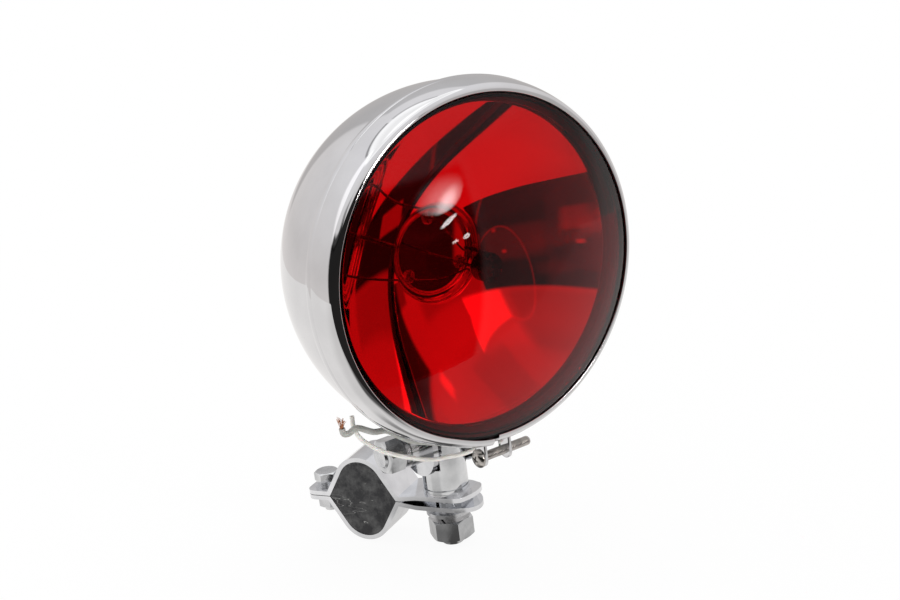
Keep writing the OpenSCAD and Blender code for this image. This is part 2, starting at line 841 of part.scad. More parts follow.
module stud_washer() {
    color("silver")
    at_stud() translate([0, 0, stud_washer_z]) ring(stud_washer_r, stud_d / 2 + easy, stud_washer_t);
}

module stud_spring_washer() {
    color("silver")
    at_stud() translate([0, 0, stud_spring_z]) rotate([0, 0, 215])
        split_washer(stud_spring_r, stud_d / 2 + easy, stud_spring_t);
}

module stud_nut() {
    color("silver")
    at_stud() translate([0, 0, stud_nut_z]) difference() {
        rotate([0, 0, 14.4]) hexagon(stud_nut_af, stud_nut_h, true);
        translate([0, 0, -margin]) cylinder(r = stud_d / 2 + touch, h = stud_nut_h + 2 * margin);
    }
}

// Levels of the rear bolt's stack
rear_top = root_gap / 2 + strap_t;

module clamp_bolt() {
    shank_l = 2 * (rear_top + rear_washer_t) + rear_nut_h + 2;
    color("silver")
    on_bar() translate([0, rear_reach, rear_top + rear_washer_t]) {
        hexagon(rear_head_af, rear_head_h, false);
        translate([0, 0, -shank_l]) cylinder(r = rear_bolt_d / 2, h = shank_l + margin, $fn = 48);
    }
}

module clamp_bolt_washers() {
    color("silver")
    on_bar() for (z = [rear_top, -rear_top - rear_washer_t])
        translate([0, rear_reach, z]) ring(rear_washer_r, rear_bolt_d / 2 + easy, rear_washer_t);
}

module clamp_bolt_nut() {
    color("silver")
    on_bar() translate([0, rear_reach, -rear_top - rear_washer_t - rear_nut_h]) difference() {
        rotate([0, 0, 25]) hexagon(rear_head_af, rear_nut_h, true);
        translate([0, 0, -margin])
            cylinder(r = rear_bolt_d / 2 + touch, h = rear_nut_h + 2 * margin, $fn = 48);
    }
}

shell();
rim();
rim_screw();
lens();
gasket();
reflector();
seat_ring();
filament();
filament_shield();
filament_posts();
beam_terminals();
lead_lugs();
inner_leads();
lead_grommet();
lead_grey();
lead_white();
bare_strands();
tilt_bracket();
bracket_rivets();
tilt_bolt();
tilt_collar();
tilt_spring_washer();
tilt_nut();
tooth_rings();
swivel_post();
post_washer();
upper_clamp();
lower_clamp();
clamp_rubber();
stud_washer();
stud_spring_washer();
stud_nut();
clamp_bolt();
clamp_bolt_washers();
clamp_bolt_nut();
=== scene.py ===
import math
import random

import bmesh
import bpy
from mathutils import Matrix, Vector


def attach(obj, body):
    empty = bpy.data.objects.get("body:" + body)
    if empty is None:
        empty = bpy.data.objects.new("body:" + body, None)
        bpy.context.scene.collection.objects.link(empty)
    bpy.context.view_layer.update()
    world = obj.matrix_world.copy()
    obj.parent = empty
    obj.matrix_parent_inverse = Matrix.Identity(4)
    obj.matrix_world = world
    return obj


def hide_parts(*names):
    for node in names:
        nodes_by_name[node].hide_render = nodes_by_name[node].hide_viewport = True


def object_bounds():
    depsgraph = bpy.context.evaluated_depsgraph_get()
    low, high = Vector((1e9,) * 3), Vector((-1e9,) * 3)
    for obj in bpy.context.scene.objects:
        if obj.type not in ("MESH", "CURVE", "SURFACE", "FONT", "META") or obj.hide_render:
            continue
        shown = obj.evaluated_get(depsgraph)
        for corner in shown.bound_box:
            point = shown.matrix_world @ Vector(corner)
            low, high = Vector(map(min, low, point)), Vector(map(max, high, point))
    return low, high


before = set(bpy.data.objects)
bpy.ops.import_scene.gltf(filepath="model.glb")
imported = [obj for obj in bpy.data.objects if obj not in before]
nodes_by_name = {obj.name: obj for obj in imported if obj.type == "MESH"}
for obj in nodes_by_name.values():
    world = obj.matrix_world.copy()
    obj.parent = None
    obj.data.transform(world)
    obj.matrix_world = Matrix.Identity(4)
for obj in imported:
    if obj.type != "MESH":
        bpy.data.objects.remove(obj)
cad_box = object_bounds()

scene = bpy.context.scene
MM = 0.001


def mm(x, y, z):
    return Vector((x, y, z)) * MM


def unit(v):
    return v.normalized()


# Places in metres and sizes in millimetres, as part.scad has them. Depths go back from a plane
# just in front of the edge of the glass's dome, and radii go out from the beam's axis
STUD = mm(18.6, -32.2163, 0)
TILT = mm(18.6, -32.2163, 28)
LENS = mm(18.6, -86.7163, 114)
BEAM_R = 71.5
GLASS_T = 3
GLASS_FLANGE = 2.8
CROWN_R = 163.91
CROWN_DEPTH = 149.21
JOINT_DEPTH = 6.2
FLANGE_BACK = 10.2
FOCAL = 32.8
MIRROR_EDGE_R = 65
MIRROR_APEX = 41.2
NECK_R = 21
NECK_FLOOR = 41.84
FOCUS_DEPTH = 8.4
RIM_R = 75.1
RIM_DEPTH = 15.5
RIM_CURVE = 33.8
RIM_PEAK = 14
RIM_WALL = 1
SHELL_R = 73.2
SHELL_WALL = 1
BALL_DEPTH = 19.5
COLLAR_FRONT = 9.5
BALL = LENS + mm(0, BALL_DEPTH, 0)

# Camera, at the place and angle of the photograph; its place is millimetres from the lens
RIGHT = Vector((0.815, -0.566, -0.121))
UP = Vector((0.263, 0.175, 0.949))
CAMERA_RIGHT = -16.0
CAMERA_UP = -12.7
CAMERA_BACK = 671.5
FOCAL_PX = 1700
SENSOR_MM = 36
IMAGE_W = 900


def make_camera():
    data = bpy.data.cameras.new("camera")
    data.sensor_width = SENSOR_MM
    data.lens = FOCAL_PX * SENSOR_MM / IMAGE_W
    data.clip_start = 0.01
    camera = bpy.data.objects.new("camera", data)
    scene.collection.objects.link(camera)
    right = unit(RIGHT)
    up = unit(UP - right * right.dot(UP))
    back = right.cross(up)
    place = LENS + (CAMERA_RIGHT * right + CAMERA_UP * up + CAMERA_BACK * back) * MM
    turn = Matrix((right, up, back)).transposed().to_4x4()
    camera.matrix_world = Matrix.Translation(place) @ turn
    scene.camera = camera


make_camera()

# The free leads follow part.scad's routes, measured from the tilt axis
GROMMET_X = 9.3
GROMMET_Y = 15.3
GROMMET_LIP = 2.25
GROMMET_DROP = math.sqrt(SHELL_R**2 - GROMMET_X**2 - GROMMET_Y**2)
GROMMET = Vector((GROMMET_X, GROMMET_Y, -GROMMET_DROP)) / SHELL_R
GROMMET_SIDE = unit(GROMMET.cross(Vector((0, 1, 0))))
GROMMET_FACE = BALL + (SHELL_R + GROMMET_LIP) * MM * GROMMET
LEAD_SPREAD = 2.7 * MM
EXIT_RUN = 4 * MM
GREY_D = 2.6 * MM
WHITE_D = 1.9 * MM
GREY_ROUTE = [
    (3.9, -18.8, 3.5), (-2.6, -18.8, 3.5), (-10.6, -19.3, 5.5), (-18.6, -19.8, 8.5),
    (-25.6, -20.3, 11.5), (-31.6, -20.8, 15.5), (-38.1, -21.3, 20.5), (-45.1, -22.3, 22.5),
    (-52.1, -22.3, 26.5), (-56.1, -22.3, 25.5), (-58.6, -22.3, 26), (-59.1, -22.3, 28.5),
]
WHITE_ROUTE = [
    (12.4, -18.3, 2), (9.9, -18.3, -1), (4.9, -18.3, -3), (-1.6, -18.3, -3), (-8.1, -18.3, -2),
    (-16.6, -18.3, -0.5), (-25.1, -18.3, 3), (-33.1, -18.3, 7), (-41.1, -18.3, 12),
    (-47.1, -18.3, 17.5), (-50.1, -18.3, 21.5), (-51.6, -18.3, 26), (-51.6, -18.3, 30.5),
]


def curve_point(a, b, c, d, t):
    """A point between b and c on the smooth curve through a, b, c and d."""
    square = 2 * a - 5 * b + 4 * c - d
    cube = 3 * b - a - 3 * c + d
    return 0.5 * (2 * b + (c - a) * t + square * t**2 + cube * t**3)


def smooth_route(points, steps):
    last = len(points) - 1
    out = []
    for i in range(last):
        a = points[max(i - 1, 0)]
        d = points[min(i + 2, last)]
        for k in range(steps):
            out.append(curve_point(a, points[i], points[i + 1], d, k / steps))
    out.append(points[last])
    return out


def new_piece(name, data):
    piece = bpy.data.objects.new(name, data)
    scene.collection.objects.link(piece)
    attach(piece, "head")
    return piece


def tubes(name, paths, r, smoothness):
    """A piece of round tubes or wires, one along each path."""
    data = bpy.data.curves.new(name, "CURVE")
    data.dimensions = "3D"
    data.bevel_depth = r
    data.bevel_resolution = smoothness
    data.use_fill_caps = True
    for path in paths:
        spline = data.splines.new("POLY")
        spline.points.add(len(path) - 1)
        for point, place in zip(spline.points, path):
            point.co = (*place, 1)
    holder = bpy.data.objects.new(name, data)
    mesh = bpy.data.meshes.new_from_object(holder)
    bpy.data.objects.remove(holder)
    bpy.data.curves.remove(data)
    mesh.shade_smooth()
    mesh.set_sharp_from_angle(angle=math.radians(60))
    return new_piece(name, mesh)


def lead(name, start, route, diameter):
    points = [start, start + EXIT_RUN * GROMMET] + [TILT + mm(*p) for p in route]
    points = smooth_route(points, 4)
    return tubes(name, [points], diameter / 2, 6), points


# Copper strands that fan out of the cut end of the grey lead
STRAND_TIPS = [(-1.5, 0, 5.5), (-0.5, 0.6, 4.5), (0.6, -0.6, 4.2), (2.6, 0.2, 2.6), (1.6, 0.5, 3.6)]
STRANDS = 26
STRAND_R = 0.09 * MM


def copper_strands(end):
    chance = random.Random(7)
    paths = []
    for i in range(STRANDS):
        tip = mm(*STRAND_TIPS[i % len(STRAND_TIPS)])
        reach = chance.uniform(0.75, 1.05)
        foot = mm(chance.uniform(-0.75, 0.75), chance.uniform(-0.75, 0.75), -0.4)
        stray = mm(chance.uniform(-0.7, 0.7), chance.uniform(-0.5, 0.5), chance.uniform(-0.5, 0.4))
        lift = mm(0, 0, 0.35 * tip.length / MM)
        places = [foot, foot + mm(0, 0, 0.6), foot * 0.8 + (tip + stray) * reach * 0.45 + lift * 0.3]
        places.append((tip + stray) * reach)
        paths.append([end + place for place in smooth_route(places, 4)])
    piece = tubes("copper_strands", paths, STRAND_R, 2)
    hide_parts("bare_strands")
    return piece


def leads():
    out = {}
    out["copper_strands"] = copper_strands(TILT + mm(*GREY_ROUTE[-1]))
    for name, side, route, diameter, node, pieces in (
        ("grey_lead", -1, GREY_ROUTE, GREY_D, "lead_grey", [out["copper_strands"]]),
        ("white_lead", 1, WHITE_ROUTE, WHITE_D, "lead_white", []),
    ):
        start = GROMMET_FACE + side * LEAD_SPREAD * GROMMET_SIDE
        piece, points = lead(name, start, route, diameter)
        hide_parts(node)
        out[name] = piece
    return out


new_pieces = leads()


# Turned pieces, from an outline of (radius, depth) that goes round the beam axis
TURN_STEPS = 288
SHARP_ANGLE = math.radians(28)
CORNER_ANGLE = math.radians(25)
CORNER_STEPS = 3


def arc(centre, r, start, end, steps):
    out = []
    for i in range(steps + 1):
        a = math.radians(start + (end - start) * i / steps)
        out.append((centre[0] + r * math.cos(a), centre[1] + r * math.sin(a)))
    return out


def soften(outline, size):
    """The closed outline with each of its sharp corners rounded."""
    out = []
    count = len(outline)
    for i in range(count):
        before = Vector(outline[i - 1])
        here = Vector(outline[i])
        after = Vector(outline[(i + 1) % count])
        back = before - here
        ahead = after - here
        on_axis = here.x < 0.001
        if on_axis or (-back).angle(ahead) < CORNER_ANGLE:
            out.append(tuple(here))
            continue
        reach = min(size, 0.4 * back.length, 0.4 * ahead.length)
        start = here + back.normalized() * reach
        end = here + ahead.normalized() * reach
        for k in range(CORNER_STEPS + 1):
            t = k / CORNER_STEPS
            out.append(tuple(start * (1 - t) ** 2 + here * 2 * t * (1 - t) + end * t**2))
    return out


def on_beam(r, depth, turn):
    return LENS + mm(r * math.cos(turn), depth, r * math.sin(turn))


def finish_mesh(name, bm):
    bmesh.ops.remove_doubles(bm, verts=bm.verts, dist=0.000001)
    bmesh.ops.recalc_face_normals(bm, faces=bm.faces)
    mesh = bpy.data.meshes.new(name)
    bm.to_mesh(mesh)
    bm.free()
    mesh.shade_smooth()
    mesh.set_sharp_from_angle(angle=SHARP_ANGLE)
    return new_piece(name, mesh)


def join_rings(bm, a, b):
    size = len(a)
    for k in range(size):
        bm.faces.new([a[k], a[(k + 1) % size], b[(k + 1) % size], b[k]])


def turned(name, outline, start=0, end=360, stray=None, steps=TURN_STEPS):
    """Turns a closed outline round the beam axis; stray gives extra radius at an angle."""
    bm = bmesh.new()
    whole = end - start == 360
    count = steps if whole else steps + 1
    rings = []
    for i in range(count):
        turn = math.radians(start + (end - start) * i / steps)
        extra = stray(turn) if stray else 0
        rings.append([bm.verts.new(on_beam(r + extra, depth, turn)) for r, depth in outline])
    for i in range(count if whole else count - 1):
        join_rings(bm, rings[i], rings[(i + 1) % count])
    if not whole:
        bm.faces.new(rings[0])
        bm.faces.new(rings[-1])
    return finish_mesh(name, bm)


def shell_skin():
    inner_r = SHELL_R - SHELL_WALL
    outline = arc((0, BALL_DEPTH), SHELL_R, 90, 0, 90)
    outline += [(SHELL_R, COLLAR_FRONT), (inner_r, COLLAR_FRONT)]
    outline += arc((0, BALL_DEPTH), inner_r, 0, 90, 60)
    piece = turned("shell_skin", outline)
    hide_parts("shell")
    return piece


# The rim's front edge turns in with a small shoulder and ends in a thin lip
SHOULDER_R = 3.5
SHOULDER_TURN = 21.5
LIP_R = 0.3
LIP_TURN = 84

# A swelling runs round its rear, and its rear edge is rolled
SWELL_R = 4.5
SWELL = (RIM_R - 4.3, RIM_DEPTH - 1.9)
ROLL_R = 0.7
ROLL = (RIM_R - 0.55, RIM_DEPTH - 0.72)

# The rim is open at the bottom, beside the left tab, and its left end springs out
SPLIT_LEFT = -8.6
SPLIT_RIGHT = -6.2
TAB_LEFT_X = -10.2
TAB_SPAN = 12.2
TAB_T = 1.6
TAB_R = 3.8
TAB_DEPTH = 9
TAB_DROP = 80.6
TAB_IN_RIM = 1.2
TAB_EDGE = 0.3
TAB_EDGE_ANGLE = 1.2
SPRING_OUT = 1.2
SPRING_START = 246
SPRING_END = 263.5


def sprung_end(turn):
    angle = math.degrees(turn) % 360
    if not SPRING_START < angle <= SPRING_END + 1:
        return 0
    t = min(1, (angle - SPRING_START) / (SPRING_END - SPRING_START))
    return SPRING_OUT * t * t * (3 - 2 * t)


def rim_outline():
    """The rim's section: lip, shoulder and curve, then a swelling and a rolled edge at the rear."""
    centre_r = RIM_R - RIM_CURVE
    turn = math.radians(SHOULDER_TURN)
    back = RIM_CURVE - SHOULDER_R
    shoulder = (centre_r + back * math.cos(turn), RIM_PEAK - back * math.sin(turn))
    turn = math.radians(LIP_TURN)
    back = SHOULDER_R - LIP_R
    lip = (shoulder[0] + back * math.cos(turn), shoulder[1] - back * math.sin(turn))
    outline = arc(lip, LIP_R, 60, 360 - LIP_TURN, 14)
    outline += arc(shoulder, SHOULDER_R, 4 - LIP_TURN, -SHOULDER_TURN, 16)
    outline += arc((centre_r, RIM_PEAK), RIM_CURVE, 1 - SHOULDER_TURN, -4.2, 24)
    outline += arc(SWELL, SWELL_R, -22, 10, 14)
    outline += arc(ROLL, ROLL_R, 20, 170, 14)
    outline += arc((centre_r, RIM_PEAK), RIM_CURVE - RIM_WALL, -3, 1 - SHOULDER_TURN, 16)
    outline += arc(shoulder, SHOULDER_R - RIM_WALL, -SHOULDER_TURN, 4 - LIP_TURN, 8)
    return outline


def rim_band():
    start = 270 + math.degrees(math.asin(SPLIT_RIGHT / RIM_R))
    end = 630 + math.degrees(math.asin(SPLIT_LEFT / RIM_R))
    return turned("rim_band", rim_outline(), start, end, sprung_end, 360)


def rim_tab(name, x):
    """A bent-out tab with a round end, which the screw goes through."""
    bm = bmesh.new()
    top = TAB_DROP - RIM_R + TAB_IN_RIM
    edge = [(-TAB_R, top)] + arc((0, 0), TAB_R, 180, 360, 24) + [(TAB_R, top)]
    outer = [bm.verts.new(LENS + mm(x, TAB_DEPTH + y, -TAB_DROP + z)) for y, z in edge]
    bm.faces.new(outer)
    made = bmesh.ops.extrude_face_region(bm, geom=list(bm.faces))
    moved = [v for v in made["geom"] if isinstance(v, bmesh.types.BMVert)]
    bmesh.ops.translate(bm, verts=moved, vec=mm(TAB_T, 0, 0))
    corners = [e for e in bm.edges if e.calc_face_angle(0) > TAB_EDGE_ANGLE]
    bmesh.ops.bevel(
        bm, geom=corners, offset=TAB_EDGE * MM, segments=3, affect="EDGES", profile=0.5,
    )
    piece = finish_mesh(name, bm)
    return piece


# The screw that draws the rim's tabs together
SCREW_R = 2
SCREW_L = 25
SCREW_POINT = 0.8
POINT_TAPER = 0.6
PITCH = 0.7
THREAD = 0.24
THREAD_SIDES = 40
RINGS_PER_TURN = 8
HEAD_R = 4
HEAD_H = 2.6
HEAD_SIDES = 64
HEAD_OUTLINE = [
    (0, -HEAD_H), (1.6, -HEAD_H + 0.12), (2.8, -HEAD_H + 0.5), (3.5, -HEAD_H + 1.05),
    (HEAD_R, -0.9), (HEAD_R, 0), (0, 0),
]

# The cross in its head: the angles of its two bars, their depth (half of it in front of the
# head), width and length, and the shares of width and length that are left at the bottom
CROSS_TURNS = (20, 110)
CROSS_BAR = (3.2, 0.95, 4.8)
CROSS_WIDTH_LEFT = 0.7
CROSS_LENGTH_LEFT = 0.45


def cut_away(piece, cutters):
    """Takes the cutters' space out of a piece and removes the cutters."""
    for cutter in cutters:
        step = piece.modifiers.new("cut", "BOOLEAN")
        step.operation = "DIFFERENCE"
        step.solver = "EXACT"
        step.object = cutter
    graph = bpy.context.evaluated_depsgraph_get()
    mesh = bpy.data.meshes.new_from_object(piece.evaluated_get(graph))
    piece.modifiers.clear()
    piece.data = mesh
    for cutter in cutters:
        bpy.data.objects.remove(cutter)
    mesh.shade_smooth()
    mesh.set_sharp_from_angle(angle=SHARP_ANGLE)


def cross_cutter(name, centre, turn):
    """A wedge for one bar of the cross in the screw's head."""
    bm = bmesh.new()
    bmesh.ops.create_cube(bm, size=1)
    size = Matrix.Diagonal([side * MM for side in CROSS_BAR] + [1])
    bmesh.ops.transform(bm, matrix=size, verts=bm.verts)
    for corner in bm.verts:
        if corner.co.x > 0:
            corner.co.z *= CROSS_LENGTH_LEFT
            corner.co.y *= CROSS_WIDTH_LEFT
    mesh = bpy.data.meshes.new(name)
    bm.to_mesh(mesh)
    bm.free()
    cutter = bpy.data.objects.new(name, mesh)
    cutter.matrix_world = Matrix.Translation(centre) @ Matrix.Rotation(math.radians(turn), 4, "X")
    scene.collection.objects.link(cutter)
    return cutter


def screw_place(place, x, r, turn):
    return place + mm(x, r * math.cos(turn), r * math.sin(turn))


def screw_shank(place):
    """The shank with its spiral thread."""
    bm = bmesh.new()
    rings = []
    steps = int(SCREW_L / PITCH * RINGS_PER_TURN)
    for i in range(steps + 1):
        x = SCREW_L * i / steps
        taper = max(0, x - SCREW_L + SCREW_POINT) * POINT_TAPER
        ring = []
        for k in range(THREAD_SIDES):
            part = k / THREAD_SIDES
            wave = abs(2 * ((x / PITCH + part) % 1) - 1)
            r = SCREW_R - THREAD * wave - taper
            ring.append(bm.verts.new(screw_place(place, x, r, 2 * math.pi * part)))
        rings.append(ring)
    for a, b in zip(rings, rings[1:]):
        join_rings(bm, a, b)
    bm.faces.new(rings[0])
    bm.faces.new(rings[-1])
    shank = finish_mesh("screw_thread", bm)
    shank.data.set_sharp_from_angle(angle=math.radians(80))
    return shank


def screw_head(place):
    """The domed head with a cross cut into it."""
    dome = soften(HEAD_OUTLINE, 0.5)
    bm = bmesh.new()
    rings = []
    for i in range(HEAD_SIDES):
        turn = 2 * math.pi * i / HEAD_SIDES
        rings.append([bm.verts.new(screw_place(place, x, r, turn)) for r, x in dome])
    for i in range(HEAD_SIDES):
        join_rings(bm, rings[i], rings[(i + 1) % HEAD_SIDES])
    head = finish_mesh("screw_head", bm)
    mouth = place + mm(-HEAD_H, 0, 0)
    cut_away(head, [cross_cutter("bar", mouth, turn) for turn in CROSS_TURNS])
    return head


# The glass is a little wider than part.scad's lens and further forward, and so fills its rim
GLASS_R = 69.1
GLASS_SIDE = 2.1
GLASS_CORNER = 0.35
GLASS_OFF = mm(0.05, -0.6, -0.05)


def lens_glass():
    wall_r = GLASS_R - GLASS_SIDE
    inner = CROWN_R - GLASS_T
    edge = math.degrees(math.asin(GLASS_R / CROWN_R))
    inner_edge = math.degrees(math.asin(wall_r / inner))
    front = arc((0, CROWN_DEPTH), CROWN_R, -90, -90 + edge, 72)
    back = arc((0, CROWN_DEPTH), inner, -90 + inner_edge, -90, 60)
    outline = front + [(GLASS_R, GLASS_FLANGE), (BEAM_R, GLASS_FLANGE)]
    outline += [(BEAM_R, JOINT_DEPTH), (wall_r, JOINT_DEPTH)] + back
    piece = turned("lens_glass", soften(outline, GLASS_CORNER))
    piece.data.transform(Matrix.Translation(GLASS_OFF))
    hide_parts("lens")
    return piece


# The back of the mirror lies this far behind its face, and its neck has a step and a groove
MIRROR_SHIFT = GLASS_T + 0.2
MIRROR_STEPS = 56
MIRROR_CORNER = 0.5
NECK_STEPS = [
    (NECK_R - 0.6, 38.6), (NECK_R - 0.6, 39.8), (NECK_R - 1.4, 40.2), (NECK_R - 1.4, NECK_FLOOR),
    (18, NECK_FLOOR), (17.7, NECK_FLOOR - 0.5), (17, NECK_FLOOR - 0.5), (16.7, NECK_FLOOR),
]


def mirror_depth(r):
    return MIRROR_APEX - r**2 / (4 * FOCAL)


def reflector_bowl():
    outline = [(MIRROR_EDGE_R, JOINT_DEPTH)]
    for i in range(MIRROR_STEPS + 1):
        r = MIRROR_EDGE_R + (NECK_R - MIRROR_EDGE_R) * i / MIRROR_STEPS
        outline.append((r, mirror_depth(r)))
    neck_back = NECK_R + GLASS_T
    outline += NECK_STEPS
    outline += [(0, NECK_FLOOR), (0, NECK_FLOOR + GLASS_T), (neck_back, NECK_FLOOR + GLASS_T)]
    back_edge = math.sqrt(4 * FOCAL * (MIRROR_APEX + MIRROR_SHIFT - FLANGE_BACK))
    for i in range(MIRROR_STEPS + 1):
        r = neck_back + (back_edge - neck_back) * i / MIRROR_STEPS
        outline.append((r, mirror_depth(r) + MIRROR_SHIFT))
    outline += [(BEAM_R, FLANGE_BACK), (BEAM_R, JOINT_DEPTH)]
    piece = turned("reflector_bowl", soften(outline, MIRROR_CORNER))
    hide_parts("reflector")
    return piece


# The coiled filament in front of the mirror, between the two lower support wires
COIL_R = 0.75
COIL_TURNS = 14
STEPS_PER_TURN = 20
COIL_HALF = 3.2
COIL_END = 5
COIL_DROP = 1
COIL_WIRE_R = 0.13 * MM


def filament_coil():
    middle = LENS + mm(0, FOCUS_DEPTH, -COIL_DROP)
    steps = COIL_TURNS * STEPS_PER_TURN
    path = [middle + mm(-COIL_END, 0, 0)]
    for i in range(steps + 1):
        a = 2 * math.pi * COIL_TURNS * i / steps
        x = COIL_HALF * (2 * i / steps - 1)
        path.append(middle + mm(x, COIL_R * math.cos(a), COIL_R * math.sin(a)))
    path.append(middle + mm(COIL_END, 0, 0))
    piece = tubes("filament_coil", [path], COIL_WIRE_R, 3)
    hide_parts("filament")
    return piece


# Wires from the ferrules: the ferrules' angles, and the wires' ends as x, z and depth. Each wire
# runs straight at both ends and has a knee between them, nearer to the axis than its foot
FERRULES = (90, 210, 330)
FERRULE_CIRCLE_R = 14.8
FOOT_DEPTH = NECK_FLOOR - 1.7
FOOT_END_DEPTH = NECK_FLOOR - 8
KNEE_SHARE = 0.75
KNEE_RUN = 13
TIP_RUN = 3
WIRE_ENDS = [
    (0, 5, FOCUS_DEPTH + 8), (-COIL_END, -COIL_DROP, FOCUS_DEPTH), (COIL_END, -COIL_DROP, FOCUS_DEPTH),
]
WIRE_R = 0.38 * MM


def support_wires():
    """Three wires from the ferrules, with a knee, to the cup and the ends of the coil."""
    paths = []
    for turn, (x, z, depth) in zip(FERRULES, WIRE_ENDS):
        a = math.radians(turn)
        foot = (FERRULE_CIRCLE_R * math.cos(a), FERRULE_CIRCLE_R * math.sin(a))
        knee = (foot[0] * KNEE_SHARE, foot[1] * KNEE_SHARE)
        places = [(*foot, FOOT_DEPTH), (*foot, FOOT_END_DEPTH), (*knee, depth + KNEE_RUN)]
        places += [(x, z, depth + TIP_RUN), (x, z, depth)]
        paths.append(smooth_route([LENS + mm(px, d, pz) for px, pz, d in places], 5))
    piece = tubes("support_wires", paths, WIRE_R, 3)
    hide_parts("filament_posts")
    return piece


new_pieces["shell_skin"] = shell_skin()
new_pieces["support_wires"] = support_wires()
new_pieces["rim_band"] = rim_band()
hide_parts("rim")
new_pieces["rim_tab_left"] = rim_tab("rim_tab_left", TAB_LEFT_X)
new_pieces["rim_tab_right"] = rim_tab("rim_tab_right", TAB_LEFT_X + TAB_SPAN)
under_head = LENS + mm(TAB_LEFT_X, TAB_DEPTH, -TAB_DROP)
new_pieces["screw_thread"] = screw_shank(under_head)
new_pieces["screw_head"] = screw_head(under_head)
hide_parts("rim_screw")
new_pieces["lens_glass"] = lens_glass()
new_pieces["reflector_bowl"] = reflector_bowl()
new_pieces["filament_coil"] = filament_coil()


# Rounded edges on the pieces that keep their shape
ROUNDED = {
    "tilt_bracket": 0.35, "bracket_rivets": 0.4, "tilt_bolt": 0.35, "tilt_collar": 0.4, "tilt_nut": 0.3,
    "tilt_spring_washer": 0.2, "tooth_rings": 0.12, "swivel_post": 0.4, "post_washer": 0.2,
    "upper_clamp": 0.4, "lower_clamp": 0.4, "clamp_rubber": 0.5, "stud_washer": 0.3,
    "stud_spring_washer": 0.3, "stud_nut": 0.35, "clamp_bolt": 0.3, "clamp_bolt_washers": 0.25,
    "clamp_bolt_nut": 0.3, "lead_grommet": 0.5,
}


def round_edges(piece, width):
    bevel = piece.modifiers.new("edges", "BEVEL")
    bevel.width = width * MM
    bevel.segments = 3
    bevel.limit_method = "ANGLE"
    bevel.angle_limit = math.radians(32)
    bevel.use_clamp_overlap = True
    bevel.harden_normals = True


for name, width in ROUNDED.items():
    round_edges(nodes_by_name[name], width)


# Materials; the numbers are those of a colour mix node's sockets
COLOUR_A = 6
COLOUR_B = 7
COLOUR_MIXED = 2


class Graph:
    """Short ways to add nodes to a node tree."""

    def node(self, kind, **settings):
        made = self.tree.nodes.new(kind)
        for key, value in settings.items():
            if key in made.inputs:
                made.inputs[key].default_value = value
            else:
                setattr(made, key, value)
        return made

    def link(self, a, b):
        self.tree.links.new(a, b)

    def sum(self, operation, a, b=None):
        made = self.node("ShaderNodeMath", operation=operation)
        for slot, value in zip(made.inputs, (a, b)):
            if value is None:
                continue
            if isinstance(value, (int, float)):
                slot.default_value = value
            else:
                self.link(value, slot)
        return made.outputs[0]

    def spread(self, value, start, end, low, high, rise="LINEAR"):
        """Goes from low at start to high at end, and keeps them outside."""
        made = self.node("ShaderNodeMapRange", interpolation_type=rise)
        self.link(value, made.inputs["Value"])
        for key, number in (("From Min", start), ("From Max", end), ("To Min", low), ("To Max", high)):
            made.inputs[key].default_value = number
        return made.outputs["Result"]

    def step(self, value, start, end, low, high):
        return self.spread(value, start, end, low, high, "SMOOTHSTEP")

    def between(self, value, low, high, soft):
        """1 from low to high, and 0 outside."""
        return self.sum(
            "MULTIPLY", self.step(value, low - soft, low + soft, 0, 1),
            self.step(value, high - soft, high + soft, 1, 0))

    def shaded(self, level, mask, share):
        return self.sum("MULTIPLY", level, self.sum("SUBTRACT", 1, self.sum("MULTIPLY", mask, share)))

    def added(self, level, mask, gain):
        return self.sum("ADD", level, self.sum("MULTIPLY", mask, gain))

    def heading(self, x, y):
        """The direction of x, y in degrees: 0 to the front and 90 to the right."""
        return self.sum("DEGREES", self.sum("ARCTAN2", x, self.sum("MULTIPLY", y, -1)))

    def distance(self, x, y):
        return self.sum("SQRT", self.sum("ADD", self.sum("POWER", x, 2), self.sum("POWER", y, 2)))

    def apart(self, place):
        """The X, Y and Z of a place, each on its own."""
        axes = self.node("ShaderNodeSeparateXYZ")
        self.link(place, axes.inputs[0])
        return axes.outputs

    def by_ray(self, shown, others):
        """A shader, with another one in its place for each named kind of ray."""
        path = self.node("ShaderNodeLightPath")
        for kind, other in others:
            before = shown
            shown = self.node("ShaderNodeMixShader")
            self.link(path.outputs[kind], shown.inputs[0])
            self.link(before.outputs[0], shown.inputs[1])
            self.link(other.outputs[0], shown.inputs[2])
        return shown


